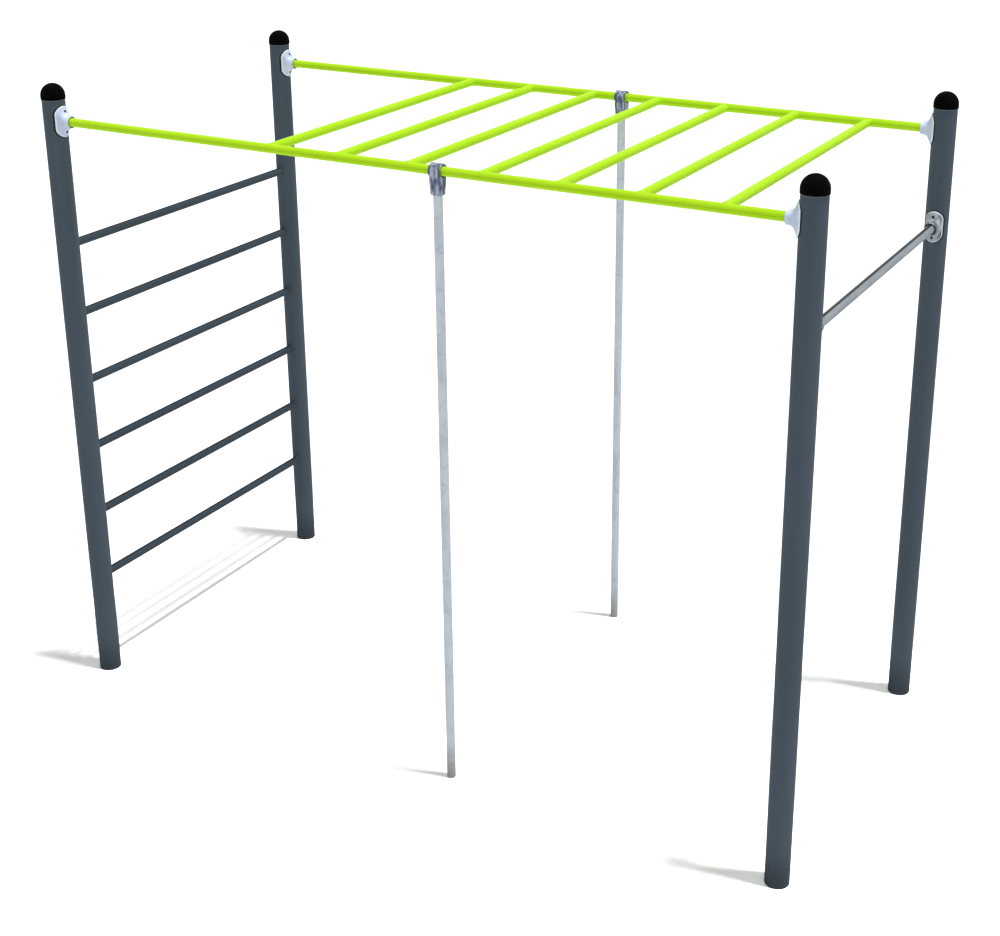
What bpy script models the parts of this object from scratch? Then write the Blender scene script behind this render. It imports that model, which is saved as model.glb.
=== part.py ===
"""Outdoor fitness station: an overhead ladder on four posts, with wall bars at one end
and a pull-up bar at the other. Metres, +Z up, origin on the ground in the middle.

+X runs from the wall bars to the pull-up bar, along the ladder. The front is at -Y.
"""
import math

import bmesh
import bpy
from mathutils import Matrix, Vector

# Layout of the station
BAY_LENGTH = 3.0555            # between the axes of the left and the right posts
BAY_WIDTH = 1.424              # between the axes of the front and the back posts
RAIL_HEIGHT = 2.3905           # axis of the ladder's rails and rungs
PULL_UP_BAR_BELOW_RAIL = 0.3625
CLEARANCE = 0.0003             # gap between pieces that touch

# Posts and caps
POST_DIAMETER = 0.0889
POST_WALL = 0.0032
POST_ABOVE_RAIL = 0.0975       # from the rail's axis to the post's top end
CAP_SKIRT_WALL = 0.002
CAP_SKIRT_LENGTH = 0.0142      # how far the cap reaches down over the post
CAP_DOME_WALL = 0.005

# Ladder
RAIL_DIAMETER = 0.0337
RAIL_WALL = 0.0026
RUNG_DIAMETER = 0.0337
RUNG_WALL = 0.0026
RUNG_COUNT = 7
RUNG_PITCH = 0.291
LAST_RUNG_FROM_POSTS = 0.291   # from the right posts' axes
POLE_AFTER_RUNG = 3            # the poles stand between this rung and the next
POLE_PAST_RUNG = 0.12525       # from that rung's axis to the poles' axes

# Wall bars
WALL_BAR_DIAMETER = 0.0337
WALL_BAR_WALL = 0.0026
WALL_BAR_COUNT = 6
WALL_BAR_PITCH = 0.291
LOWEST_WALL_BAR_HEIGHT = 0.4365
WALL_BAR_END_IN_POST = 0.006   # how far a bar's end stands out inside the post

# Pull-up bar
PULL_UP_BAR_DIAMETER = 0.0337
PULL_UP_BAR_WALL = 0.0026

# Poles and the tees that tie them to the rails
POLE_DIAMETER = 0.0337
POLE_WALL = 0.0026
TEE_RING_LENGTH = 0.046
TEE_RING_WALL = 0.005          # at the mouths, outside the gap round the rail
TEE_MOUTH_GAP = 0.004          # how much wider than its bore the ring is at a mouth
TEE_MOUTH_DEPTH = 0.005
TEE_SOCKET_LENGTH = 0.055      # below the ring
TEE_SOCKET_WALL = 0.009        # at the socket's lower end
TEE_SOCKET_TAPER = 0.00275     # how much larger the radius is at the socket's top
TEE_SHOULDER_HEIGHT = 0.014    # from inside the ring down to the socket's widest place
TEE_WEB = 0.003                # metal between the rail's bore and the pole's bore
TEE_EDGE_ROUND = 0.002

# Flanges that hold the rails and the pull-up bar on the posts
FLANGE_REACH = 0.041           # from the post's surface to the collar's mouth
FLANGE_MOUTH_GAP = 0.00385     # how much wider than the thicker tube's bore the mouth is
FLANGE_MOUTH_WALL = 0.0035
FLANGE_MOUTH_DEPTH = 0.008
FLANGE_THICKNESS = 0.005
FLANGE_SIDE_MARGIN = 0.0085    # how far the plate stands out beside the collar
FLANGE_END_MARGIN = 0.020      # from a screw's axis to the plate's end
FLANGE_SCREW_FROM_COLLAR = 0.0155
FLANGE_EDGE_ROUND = 0.0015

# Flange screws and the threaded plates behind them
SCREW_DIAMETER = 0.006
SCREW_END_PAST_PLATE = 0.0047
SCREW_HEAD_DIAMETER = 0.0085
SCREW_HEAD_HEIGHT = 0.0045
SCREW_SOCKET_ACROSS = 0.0045
SCREW_SOCKET_DEPTH = 0.003
SCREW_SEAT_OVER_PLATE = 0.0015
BACKING_PLATE_END_MARGIN = 0.012   # from a screw's axis to the plate's end
BACKING_PLATE_WIDTH = 0.022
BACKING_PLATE_THICKNESS = 0.007

# Grub screw in the tee's socket
GRUB_DIAMETER = 0.008
GRUB_LENGTH = 0.010
GRUB_SOCKET_ACROSS = 0.004
GRUB_SOCKET_DEPTH = 0.004
GRUB_HEIGHT_IN_SOCKET = 0.030  # above the socket's mouth

CUT_OVERRUN = 0.010            # how far a cutter reaches past what it cuts
MERGE_DISTANCE = 0.00001
SHARP_EDGE_DEGREES = 35

# Sides of the round pieces, each rolled by half a side so that flats face along the axes
POST_SIDES = 32
TUBE_SIDES = 16
CASTING_SIDES = 24
HOLE_SIDES = 12
SCREW_SIDES = 12
HEX_SIDES = 6
DOME_OUTER_STEPS = 6
DOME_INNER_STEPS = 3

# The flange's flare from plate to collar: each row has the share of the way out to the
# mouth, and the share of the plate's extra height and width that is still left there
FLARE_SHARES = (
    (0.06, 0.87),
    (0.14, 0.63),
    (0.24, 0.36),
    (0.37, 0.17),
    (0.60, 0.05),
)

POST_RADIUS = POST_DIAMETER / 2
POST_BORE_RADIUS = POST_RADIUS - POST_WALL
POST_HEIGHT = RAIL_HEIGHT + POST_ABOVE_RAIL
PULL_UP_BAR_HEIGHT = RAIL_HEIGHT - PULL_UP_BAR_BELOW_RAIL
LEFT_X = -BAY_LENGTH / 2
RIGHT_X = BAY_LENGTH / 2
FRONT_Y = -BAY_WIDTH / 2
BACK_Y = BAY_WIDTH / 2

# The tee follows the rail and the pole that it joins
TEE_RAIL_BORE = RAIL_DIAMETER / 2 + CLEARANCE
TEE_MOUTH_RADIUS = TEE_RAIL_BORE + TEE_MOUTH_GAP
TEE_RING_RADIUS = TEE_MOUTH_RADIUS + TEE_RING_WALL
TEE_POLE_BORE = POLE_DIAMETER / 2 + CLEARANCE
TEE_SOCKET_BOTTOM_RADIUS = TEE_POLE_BORE + TEE_SOCKET_WALL
TEE_SOCKET_TOP_RADIUS = TEE_SOCKET_BOTTOM_RADIUS + TEE_SOCKET_TAPER
TEE_SOCKET_REACH = TEE_RING_RADIUS + TEE_SOCKET_LENGTH

# One casting serves the rails and the pull-up bar, so it is sized for the thicker tube
FLANGE_TUBE_RADIUS = max(RAIL_DIAMETER, PULL_UP_BAR_DIAMETER) / 2
FLANGE_MOUTH_RADIUS = FLANGE_TUBE_RADIUS + CLEARANCE + FLANGE_MOUTH_GAP
FLANGE_COLLAR_RADIUS = FLANGE_MOUTH_RADIUS + FLANGE_MOUTH_WALL
FLANGE_SCREW_OFFSET = FLANGE_COLLAR_RADIUS + FLANGE_SCREW_FROM_COLLAR
FLANGE_HALF_HEIGHT = FLANGE_SCREW_OFFSET + FLANGE_END_MARGIN
FLANGE_HALF_WIDTH = FLANGE_COLLAR_RADIUS + FLANGE_SIDE_MARGIN

# A screw reaches from its seat in the flange, through the post's wall, past the plate
SCREW_HEAD_SEAT = FLANGE_THICKNESS + SCREW_SEAT_OVER_PLATE
SCREW_GRIP = SCREW_HEAD_SEAT + POST_WALL + BACKING_PLATE_THICKNESS + 2 * CLEARANCE
SCREW_LENGTH = SCREW_GRIP + SCREW_END_PAST_PLATE

SIDES_FRONT_BACK = (("front", FRONT_Y), ("back", BACK_Y))
POST_PLACES = {
    "front_left": (LEFT_X, FRONT_Y),
    "back_left": (LEFT_X, BACK_Y),
    "front_right": (RIGHT_X, FRONT_Y),
    "back_right": (RIGHT_X, BACK_Y),
}


def clear_scene():
    for obj in list(bpy.data.objects):
        bpy.data.objects.remove(obj, do_unlink=True)


def new_collection(name):
    collection = bpy.data.collections.new(name)
    bpy.context.scene.collection.children.link(collection)
    return collection


def new_material(name, colour, roughness, metallic):
    material = bpy.data.materials.new(name)
    material.use_nodes = True
    material.diffuse_color = (*colour, 1.0)
    shader = material.node_tree.nodes["Principled BSDF"]
    shader.inputs["Base Color"].default_value = (*colour, 1.0)
    shader.inputs["Roughness"].default_value = roughness
    shader.inputs["Metallic"].default_value = metallic
    return material


def new_object(name, mesh, material):
    obj = bpy.data.objects.new(name, mesh)
    parts.objects.link(obj)
    if not mesh.materials:
        mesh.materials.append(material)
    return obj


def shade_round(mesh):
    """Smooth shading on the round faces, with the real edges kept sharp."""
    mesh.shade_smooth()
    mesh.set_sharp_from_angle(angle=math.radians(SHARP_EDGE_DEGREES))


def half_side(sides):
    return math.pi / sides


def spin_profile(name, profile, sides, material, closed=False):
    """A turned shape: a profile of radii and heights, spun round Z by a Screw modifier."""
    edges = [(index, index + 1) for index in range(len(profile) - 1)]
    if closed:
        edges.append((len(profile) - 1, 0))
    mesh = bpy.data.meshes.new(name)
    mesh.from_pydata([(radius, 0, height) for radius, height in profile], edges, [])
    mesh.transform(Matrix.Rotation(half_side(sides), 4, "Z"))
    obj = new_object(name, mesh, material)
    screw = obj.modifiers.new("spin", "SCREW")
    screw.steps = sides
    screw.render_steps = sides
    screw.use_merge_vertices = True
    screw.merge_threshold = MERGE_DISTANCE
    screw.use_smooth_shade = True
    return obj


def tube(name, length, diameter, wall, sides, material):
    """A hollow tube along Z, from zero up to its length."""
    outer = diameter / 2
    inner = outer - wall
    profile = [(outer, length), (outer, 0), (inner, 0), (inner, length)]
    return spin_profile(name, profile, sides, material, closed=True)


def lay_along(obj, start, direction):
    """Puts the object's own Z axis along a direction, from a start point."""
    obj.matrix_world = Matrix.Translation(start) @ direction.to_track_quat("Z", "Y").to_matrix().to_4x4()


def round_cutter(name, bars):
    """One cutter with a round bar for each hole: (start, end, radius, sides)."""
    bm = bmesh.new()
    for start, end, radius, sides in bars:
        axis = end - start
        turn = axis.to_track_quat("Z", "Y").to_matrix().to_4x4()
        roll = Matrix.Rotation(half_side(sides), 4, "Z")
        place = Matrix.Translation((start + end) / 2) @ turn @ roll
        bmesh.ops.create_cone(
            bm, cap_ends=True, segments=sides, radius1=radius, radius2=radius,
            depth=axis.length, matrix=place,
        )
    mesh = bpy.data.meshes.new(name)
    bm.to_mesh(mesh)
    bm.free()
    cutter = bpy.data.objects.new(name, mesh)
    cutters.objects.link(cutter)
    cutter.hide_render = True
    cutter.display_type = "WIRE"
    return cutter


def combine(obj, other, operation):
    boolean = obj.modifiers.new(other.name, "BOOLEAN")
    boolean.object = other
    boolean.operation = operation
    boolean.solver = "EXACT"


def drill(obj, *hole_groups):
    """Cuts groups of holes one after another; the holes of one group never cross."""
    for bars in hole_groups:
        combine(obj, round_cutter(obj.name + "_holes", bars), "DIFFERENCE")


def weld(mesh):
    bm = bmesh.new()
    bm.from_mesh(mesh)
    bmesh.ops.remove_doubles(bm, verts=bm.verts, dist=MERGE_DISTANCE)
    bm.to_mesh(mesh)
    bm.free()


def finished_mesh(obj):
    """The object's mesh with its modifiers and place applied. The object itself is removed."""
    graph = bpy.context.evaluated_depsgraph_get()
    mesh = bpy.data.meshes.new_from_object(obj.evaluated_get(graph))
    mesh.transform(obj.matrix_world)
    mesh.name = obj.name
    weld(mesh)
    shade_round(mesh)
    bpy.data.objects.remove(obj, do_unlink=True)
    return mesh


def post_holes(post_name):
    """Holes for the flange screws and, in the left posts, for the wall bars."""
    x, y = POST_PLACES[post_name]
    middle = Vector((x, y, 0))
    bars = []
    for flange_x, flange_y, height, outward in FLANGE_PLACES.values():
        if (flange_x, flange_y) != (x, y):
            continue
        for drop in (-FLANGE_SCREW_OFFSET, FLANGE_SCREW_OFFSET):
            start = middle + Vector((0, 0, height + drop))
            end = start + outward * (POST_RADIUS + CUT_OVERRUN)
            bars.append((start, end, SCREW_DIAMETER / 2 + CLEARANCE, HOLE_SIDES))
    if x == LEFT_X:
        inward = Vector((0, -math.copysign(1, y), 0))
        for index in range(WALL_BAR_COUNT):
            start = middle + Vector((0, 0, wall_bar_height(index)))
            end = start + inward * (POST_RADIUS + CUT_OVERRUN)
            bars.append((start, end, WALL_BAR_DIAMETER / 2 + CLEARANCE, TUBE_SIDES))
    return bars


def build_posts():
    for name, (x, y) in POST_PLACES.items():
        post = tube("post_" + name, POST_HEIGHT, POST_DIAMETER, POST_WALL, POST_SIDES, anthracite)
        post.location = (x, y, 0)
        drill(post, post_holes(name))


def arc(radius, centre_height, steps, top_first):
    """Points of a quarter circle from the axis out to the full radius, or back."""
    turns = [math.pi / 2 * step / steps for step in range(steps + 1)]
    points = [(radius * math.sin(turn), centre_height + radius * math.cos(turn)) for turn in turns]
    points[0] = (0, centre_height + radius)
    return points if top_first else points[::-1]


def build_caps():
    """A black dome on a short skirt that slips over the post and rests on its top end."""
    bore = POST_RADIUS + CLEARANCE
    outer = bore + CAP_SKIRT_WALL
    ledge = POST_HEIGHT + CLEARANCE
    rim = ledge - CAP_SKIRT_LENGTH
    profile = arc(outer, ledge, DOME_OUTER_STEPS, top_first=True)
    profile += [(outer, rim), (bore, rim), (bore, ledge)]
    profile += arc(outer - CAP_DOME_WALL, ledge, DOME_INNER_STEPS, top_first=False)
    mesh = finished_mesh(spin_profile("cap", profile, POST_SIDES, black_plastic))
    for name, (x, y) in POST_PLACES.items():
        cap = new_object("cap_" + name, mesh, black_plastic)
        cap.location = (x, y, 0)


def rung_x(index):
    return RIGHT_X - LAST_RUNG_FROM_POSTS - RUNG_PITCH * (RUNG_COUNT - 1 - index)


def wall_bar_height(index):
    return LOWEST_WALL_BAR_HEIGHT + WALL_BAR_PITCH * index


def build_ladder():
    """Two rails from post to post, and rungs cut to sit against them."""
    end_gap = POST_RADIUS + CLEARANCE
    for side, y in SIDES_FRONT_BACK:
        rail = tube("rail_" + side, BAY_LENGTH - 2 * end_gap, RAIL_DIAMETER, RAIL_WALL, TUBE_SIDES, lime)
        lay_along(rail, Vector((LEFT_X + end_gap, y, RAIL_HEIGHT)), Vector((1, 0, 0)))
    for index in range(RUNG_COUNT):
        x = rung_x(index)
        rung = tube(f"rung_{index + 1}", BAY_WIDTH, RUNG_DIAMETER, RUNG_WALL, TUBE_SIDES, lime)
        lay_along(rung, Vector((x, FRONT_Y, RAIL_HEIGHT)), Vector((0, 1, 0)))
        reach = Vector((RUNG_DIAMETER / 2 + CUT_OVERRUN, 0, 0))
        bars = []
        for side, y in SIDES_FRONT_BACK:
            place = Vector((x, y, RAIL_HEIGHT))
            bars.append((place - reach, place + reach, RAIL_DIAMETER / 2 + CLEARANCE, TUBE_SIDES))
        drill(rung, bars)


def build_wall_bars():
    """Bars let into the left posts, each end a little way inside the post's bore."""
    end = POST_BORE_RADIUS - WALL_BAR_END_IN_POST
    for index in range(WALL_BAR_COUNT):
        bar = tube(
            f"wall_bar_{index + 1}", BAY_WIDTH - 2 * end, WALL_BAR_DIAMETER, WALL_BAR_WALL,
            TUBE_SIDES, anthracite,
        )
        lay_along(bar, Vector((LEFT_X, FRONT_Y + end, wall_bar_height(index))), Vector((0, 1, 0)))


def build_pull_up_bar():
    end_gap = POST_RADIUS + CLEARANCE
    bar = tube(
        "pull_up_bar", BAY_WIDTH - 2 * end_gap, PULL_UP_BAR_DIAMETER, PULL_UP_BAR_WALL,
        TUBE_SIDES, silver,
    )
    lay_along(bar, Vector((RIGHT_X, FRONT_Y + end_gap, PULL_UP_BAR_HEIGHT)), Vector((0, 1, 0)))


def pole_top():
    """The pole ends under the web that parts its bore from the rail's."""
    return RAIL_HEIGHT - TEE_RAIL_BORE - TEE_WEB - CLEARANCE


def pole_x():
    return rung_x(POLE_AFTER_RUNG - 1) + POLE_PAST_RUNG


def build_poles():
    for side, y in SIDES_FRONT_BACK:
        pole = tube("pole_" + side, pole_top(), POLE_DIAMETER, POLE_WALL, TUBE_SIDES, galvanised)
        pole.location = (pole_x(), y, 0)


def tee_mesh():
    """A cast tee about the rail's axis: a ring round the rail and a tapered socket below."""
    radius = TEE_RING_RADIUS
    half = TEE_RING_LENGTH / 2
    round_off = TEE_EDGE_ROUND
    ring = spin_profile("tee", [
        (0, half), (radius - round_off, half), (radius, half - round_off),
        (radius, -half + round_off), (radius - round_off, -half), (0, -half),
    ], CASTING_SIDES, cast_tee)
    lay_along(ring, Vector(), Vector((1, 0, 0)))
    shoulder_top = TEE_SHOULDER_HEIGHT - radius
    bottom = TEE_SOCKET_BOTTOM_RADIUS
    socket = spin_profile("tee_socket", [
        (0, shoulder_top), (half - round_off, shoulder_top), (TEE_SOCKET_TOP_RADIUS, -radius),
        (bottom, -TEE_SOCKET_REACH + round_off),
        (bottom - round_off, -TEE_SOCKET_REACH), (0, -TEE_SOCKET_REACH),
    ], CASTING_SIDES, cast_tee)
    combine(ring, socket, "UNION")
    drill(ring, *tee_bores())
    mesh = finished_mesh(ring)
    bpy.data.objects.remove(socket, do_unlink=True)
    return mesh


def tee_bores():
    """The rail's bore with its two wide mouths, the pole's bore and the grub screw's hole."""
    along = Vector((1, 0, 0))
    down = Vector((0, 0, -1))
    half = TEE_RING_LENGTH / 2
    past = half + CUT_OVERRUN
    pole_start = down * (TEE_RAIL_BORE + TEE_WEB)
    pole_end = down * (TEE_SOCKET_REACH + CUT_OVERRUN)
    grub_level = down * (TEE_SOCKET_REACH - GRUB_HEIGHT_IN_SOCKET)
    grub_end = grub_level - along * (TEE_SOCKET_TOP_RADIUS + CUT_OVERRUN)
    return (
        [(-along * past, along * past, TEE_RAIL_BORE, TUBE_SIDES)],
        [(outward * (half - TEE_MOUTH_DEPTH), outward * past, TEE_MOUTH_RADIUS, TUBE_SIDES)
         for outward in (-along, along)],
        [(pole_start, pole_end, TEE_POLE_BORE, TUBE_SIDES)],
        [(grub_level, grub_end, GRUB_DIAMETER / 2 + CLEARANCE, HOLE_SIDES)],
    )


def build_tees():
    mesh = tee_mesh()
    for side, y in SIDES_FRONT_BACK:
        tee = new_object("tee_" + side, mesh, cast_tee)
        tee.location = (pole_x(), y, RAIL_HEIGHT)


def build_grub_screws():
    """Hex-socket grub screws that press on the poles, on the side towards the wall bars."""
    radius = GRUB_DIAMETER / 2
    grub = spin_profile("grub", [
        (0, GRUB_LENGTH), (radius, GRUB_LENGTH), (radius, 0), (0, 0),
    ], SCREW_SIDES, steel)
    cut_hex_socket(grub, GRUB_LENGTH, GRUB_SOCKET_DEPTH, GRUB_SOCKET_ACROSS)
    mesh = finished_mesh(grub)
    height = RAIL_HEIGHT - TEE_SOCKET_REACH + GRUB_HEIGHT_IN_SOCKET
    for side, y in SIDES_FRONT_BACK:
        screw = new_object("grub_screw_" + side, mesh, steel)
        lay_along(screw, Vector((pole_x() - TEE_POLE_BORE, y, height)), Vector((-1, 0, 0)))


def cut_hex_socket(screw, top, depth, across):
    """A hexagon socket in a screw's end, measured across its flats."""
    corner_radius = across / 2 / math.cos(math.pi / HEX_SIDES)
    floor = Vector((0, 0, top - depth))
    drill(screw, [(floor, Vector((0, 0, top + CUT_OVERRUN)), corner_radius, HEX_SIDES)])


def build_flange_screws():
    """Cap screws through the flanges and the post walls into the backing plates."""
    shank = SCREW_DIAMETER / 2
    head = SCREW_HEAD_DIAMETER / 2
    top = SCREW_LENGTH + SCREW_HEAD_HEIGHT
    screw = spin_profile("screw", [
        (0, top), (head, top), (head, SCREW_LENGTH), (shank, SCREW_LENGTH), (shank, 0), (0, 0),
    ], SCREW_SIDES, dark_steel)
    cut_hex_socket(screw, top, SCREW_SOCKET_DEPTH, SCREW_SOCKET_ACROSS)
    mesh = finished_mesh(screw)
    for name, (x, y, height, outward) in FLANGE_PLACES.items():
        for level, drop in (("lower", -FLANGE_SCREW_OFFSET), ("upper", FLANGE_SCREW_OFFSET)):
            copy = new_object(f"screw_{name}_{level}", mesh, dark_steel)
            start = outward * (POST_RADIUS + SCREW_HEAD_SEAT + CLEARANCE - SCREW_LENGTH)
            lay_along(copy, Vector((x, y, height + drop)) + start, outward)


def plate_ring(half_width, half_height, standoff, saddle_share):
    """One outline with round ends, bent to the post by the share that is given."""
    points = []
    for index in range(CASTING_SIDES):
        turn = math.tau * (index + 0.5) / CASTING_SIDES
        side = half_width * math.cos(turn)
        height = half_width * math.sin(turn) + math.copysign(half_height - half_width, math.sin(turn))
        bend = POST_RADIUS - math.sqrt(POST_RADIUS ** 2 - side ** 2)
        points.append((standoff - saddle_share * bend, side, height))
    return points


def flange_rings():
    """Outlines from inside the post's surface, over the plate and the flare, to the mouth."""
    half_width = FLANGE_HALF_WIDTH
    half_height = FLANGE_HALF_HEIGHT
    collar = FLANGE_COLLAR_RADIUS
    round_off = FLANGE_EDGE_ROUND
    front = POST_RADIUS + FLANGE_THICKNESS
    mouth = POST_RADIUS + FLANGE_REACH
    rings = [
        plate_ring(half_width, half_height, POST_RADIUS - FLANGE_THICKNESS, 1),
        plate_ring(half_width, half_height, front - round_off, 1),
        plate_ring(half_width - round_off, half_height - round_off, front, 1),
    ]
    for way_share, left_share in FLARE_SHARES:
        rings.append(plate_ring(
            collar + (half_width - collar) * left_share,
            collar + (half_height - collar) * left_share,
            front + (mouth - front) * way_share,
            left_share,
        ))
    rings.append(plate_ring(collar, collar, mouth - round_off, 0))
    rings.append(plate_ring(collar - round_off, collar - round_off, mouth, 0))
    return rings


def loft(name, rings, material):
    """Skins rings of as many points each, and closes both ends with a fan from the middle."""
    bm = bmesh.new()
    loops = [[bm.verts.new(point) for point in ring] for ring in rings]
    count = len(rings[0])
    for lower, upper in zip(loops, loops[1:]):
        for index in range(count):
            after = (index + 1) % count
            bm.faces.new((lower[index], lower[after], upper[after], upper[index]))
    for loop in (loops[0], loops[-1]):
        middle = sum((vertex.co for vertex in loop), Vector()) / count
        centre = bm.verts.new(middle)
        for index in range(count):
            bm.faces.new((loop[(index + 1) % count], loop[index], centre))
    bmesh.ops.recalc_face_normals(bm, faces=bm.faces)
    mesh = bpy.data.meshes.new(name)
    bm.to_mesh(mesh)
    bm.free()
    return new_object(name, mesh, material)


def flange_mesh(name, tube_diameter, material):
    """The saddle flange about the post's axis, reaching out along +X."""
    along = Vector((1, 0, 0))
    flange = loft(name, flange_rings(), material)
    mouth = POST_RADIUS + FLANGE_REACH
    past = mouth + CUT_OVERRUN
    reach = Vector((0, 0, FLANGE_HALF_HEIGHT + CUT_OVERRUN))
    seat = POST_RADIUS + SCREW_HEAD_SEAT
    bore = tube_diameter / 2 + CLEARANCE
    shank_holes = []
    head_holes = []
    for drop in (-FLANGE_SCREW_OFFSET, FLANGE_SCREW_OFFSET):
        level = Vector((0, 0, drop))
        end = level + along * past
        shank_holes.append((level, end, SCREW_DIAMETER / 2 + CLEARANCE, HOLE_SIDES))
        head_holes.append((level + along * seat, end, SCREW_HEAD_DIAMETER / 2 + CLEARANCE, HOLE_SIDES))
    drill(
        flange,
        [(-reach, reach, POST_RADIUS + CLEARANCE, POST_SIDES)],
        [(Vector(), along * past, bore, TUBE_SIDES)],
        [(along * (mouth - FLANGE_MOUTH_DEPTH), along * past, FLANGE_MOUTH_RADIUS, TUBE_SIDES)],
        shank_holes,
        head_holes,
    )
    return finished_mesh(flange)


def build_flanges():
    meshes = {
        "rail": flange_mesh("flange_rail", RAIL_DIAMETER, cast_flange),
        "pull_up": flange_mesh("flange_pull_up", PULL_UP_BAR_DIAMETER, galvanised),
    }
    for name, (x, y, height, outward) in FLANGE_PLACES.items():
        mesh = meshes["rail" if name.startswith("rail") else "pull_up"]
        flange = new_object("flange_" + name, mesh, mesh.materials[0])
        flange.location = (x, y, height)
        flange.rotation_euler = (0, 0, math.atan2(outward.y, outward.x))


def backing_plate_mesh():
    """A plate with a round face that seats in the post's bore, tapped for two screws."""
    along = Vector((1, 0, 0))
    face = POST_BORE_RADIUS - CLEARANCE
    back = face - BACKING_PLATE_THICKNESS
    height = 2 * (FLANGE_SCREW_OFFSET + BACKING_PLATE_END_MARGIN)
    bm = bmesh.new()
    size = Vector((2 * BACKING_PLATE_THICKNESS, BACKING_PLATE_WIDTH, height))
    place = Matrix.Translation(along * (back + BACKING_PLATE_THICKNESS)) @ Matrix.Diagonal((*size, 1))
    bmesh.ops.create_cube(bm, size=1, matrix=place)
    mesh = bpy.data.meshes.new("backing_plate")
    bm.to_mesh(mesh)
    bm.free()
    plate = new_object("backing_plate", mesh, steel)
    reach = Vector((0, 0, height))
    combine(plate, round_cutter("post_bore", [(-reach, reach, face, POST_SIDES)]), "INTERSECT")
    bars = []
    for drop in (-FLANGE_SCREW_OFFSET, FLANGE_SCREW_OFFSET):
        level = Vector((0, 0, drop))
        bars.append((level, level + along * POST_RADIUS, SCREW_DIAMETER / 2 + CLEARANCE, HOLE_SIDES))
    drill(plate, bars)
    return finished_mesh(plate)


def build_backing_plates():
    mesh = backing_plate_mesh()
    for name, (x, y, height, outward) in FLANGE_PLACES.items():
        plate = new_object("backing_plate_" + name, mesh, steel)
        plate.location = (x, y, height)
        plate.rotation_euler = (0, 0, math.atan2(outward.y, outward.x))


def flange_places():
    """Where each flange sits: its post, its height, and the way it faces."""
    places = {}
    for name, (x, y) in POST_PLACES.items():
        places["rail_" + name] = (x, y, RAIL_HEIGHT, Vector((-math.copysign(1, x), 0, 0)))
    for side, y in SIDES_FRONT_BACK:
        inward = Vector((0, -math.copysign(1, y), 0))
        places["pull_up_" + side] = (RIGHT_X, y, PULL_UP_BAR_HEIGHT, inward)
    return places


FLANGE_PLACES = flange_places()

clear_scene()
parts = new_collection("outdoor_fitness_station")
cutters = new_collection("cutters")

anthracite = new_material("anthracite_powder_coat", (0.062, 0.084, 0.102), 0.5, 0.0)
lime = new_material("lime_powder_coat", (0.48, 0.84, 0.02), 0.4, 0.0)
black_plastic = new_material("black_plastic", (0.01, 0.01, 0.01), 0.55, 0.0)
cast_flange = new_material("pale_cast_metal", (0.62, 0.68, 0.76), 0.45, 0.6)
cast_tee = new_material("galvanised_casting", (0.30, 0.34, 0.40), 0.45, 0.8)
galvanised = new_material("galvanised_steel", (0.52, 0.56, 0.60), 0.4, 0.8)
silver = new_material("silver_tube", (0.45, 0.47, 0.50), 0.35, 0.8)
steel = new_material("zinc_plated_steel", (0.40, 0.42, 0.44), 0.35, 1.0)
dark_steel = new_material("blackened_steel", (0.02, 0.022, 0.024), 0.4, 0.6)

build_posts()
build_caps()
build_ladder()
build_wall_bars()
build_pull_up_bar()
build_poles()
build_tees()
build_grub_screws()
build_flanges()
build_flange_screws()
build_backing_plates()
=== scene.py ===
# %% [markdown]
# # An outdoor fitness station
# Four posts carry an overhead ladder. Wall bars close one end and a pull-up bar the other, and
# two slim poles prop the rails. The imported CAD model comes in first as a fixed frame. Each piece
# that shows is then built again with a finer surface, in the place where the frame has it.

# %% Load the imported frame
import math

import bmesh
import bpy
from mathutils import Matrix, Vector


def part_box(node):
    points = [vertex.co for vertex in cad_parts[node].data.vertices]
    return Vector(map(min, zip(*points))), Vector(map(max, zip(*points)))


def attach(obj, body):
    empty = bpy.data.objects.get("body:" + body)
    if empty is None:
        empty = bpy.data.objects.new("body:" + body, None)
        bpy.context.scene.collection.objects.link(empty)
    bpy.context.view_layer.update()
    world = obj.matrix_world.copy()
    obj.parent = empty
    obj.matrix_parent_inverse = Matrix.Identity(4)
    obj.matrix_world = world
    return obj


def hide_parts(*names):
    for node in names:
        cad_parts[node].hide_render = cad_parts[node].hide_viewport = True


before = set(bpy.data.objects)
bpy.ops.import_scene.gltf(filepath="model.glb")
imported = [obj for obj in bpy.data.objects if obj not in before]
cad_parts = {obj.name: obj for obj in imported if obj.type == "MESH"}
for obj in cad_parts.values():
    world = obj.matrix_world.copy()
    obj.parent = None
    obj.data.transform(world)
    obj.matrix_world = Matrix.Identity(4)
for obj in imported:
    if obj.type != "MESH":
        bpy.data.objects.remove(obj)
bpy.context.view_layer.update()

# %% [markdown]
# ## Where things stand
# The frame says where every piece is. The places are read from the boxes of its nodes, so that
# nothing is measured twice. Diameters can't be read there, because a many-sided bar is a little
# slimmer across its flats than the tube it stands for, so these are written out.

# %% Places and tube sizes
ACROSS = Vector((0, 1, 0))
ALONG = Vector((1, 0, 0))
UP = Vector((0, 0, 1))
GAP = 0.0003

POST_RADIUS, POST_WALL = 0.04445, 0.0032
BAR_RADIUS, BAR_WALL = 0.01685, 0.0026
CORNERS = ("front_left", "back_left", "front_right", "back_right")
SIDES = ("front", "back")


def middle(node):
    low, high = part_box(node)
    return (low + high) / 2


def at_height(place, height):
    return Vector((place.x, place.y, height))


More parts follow.
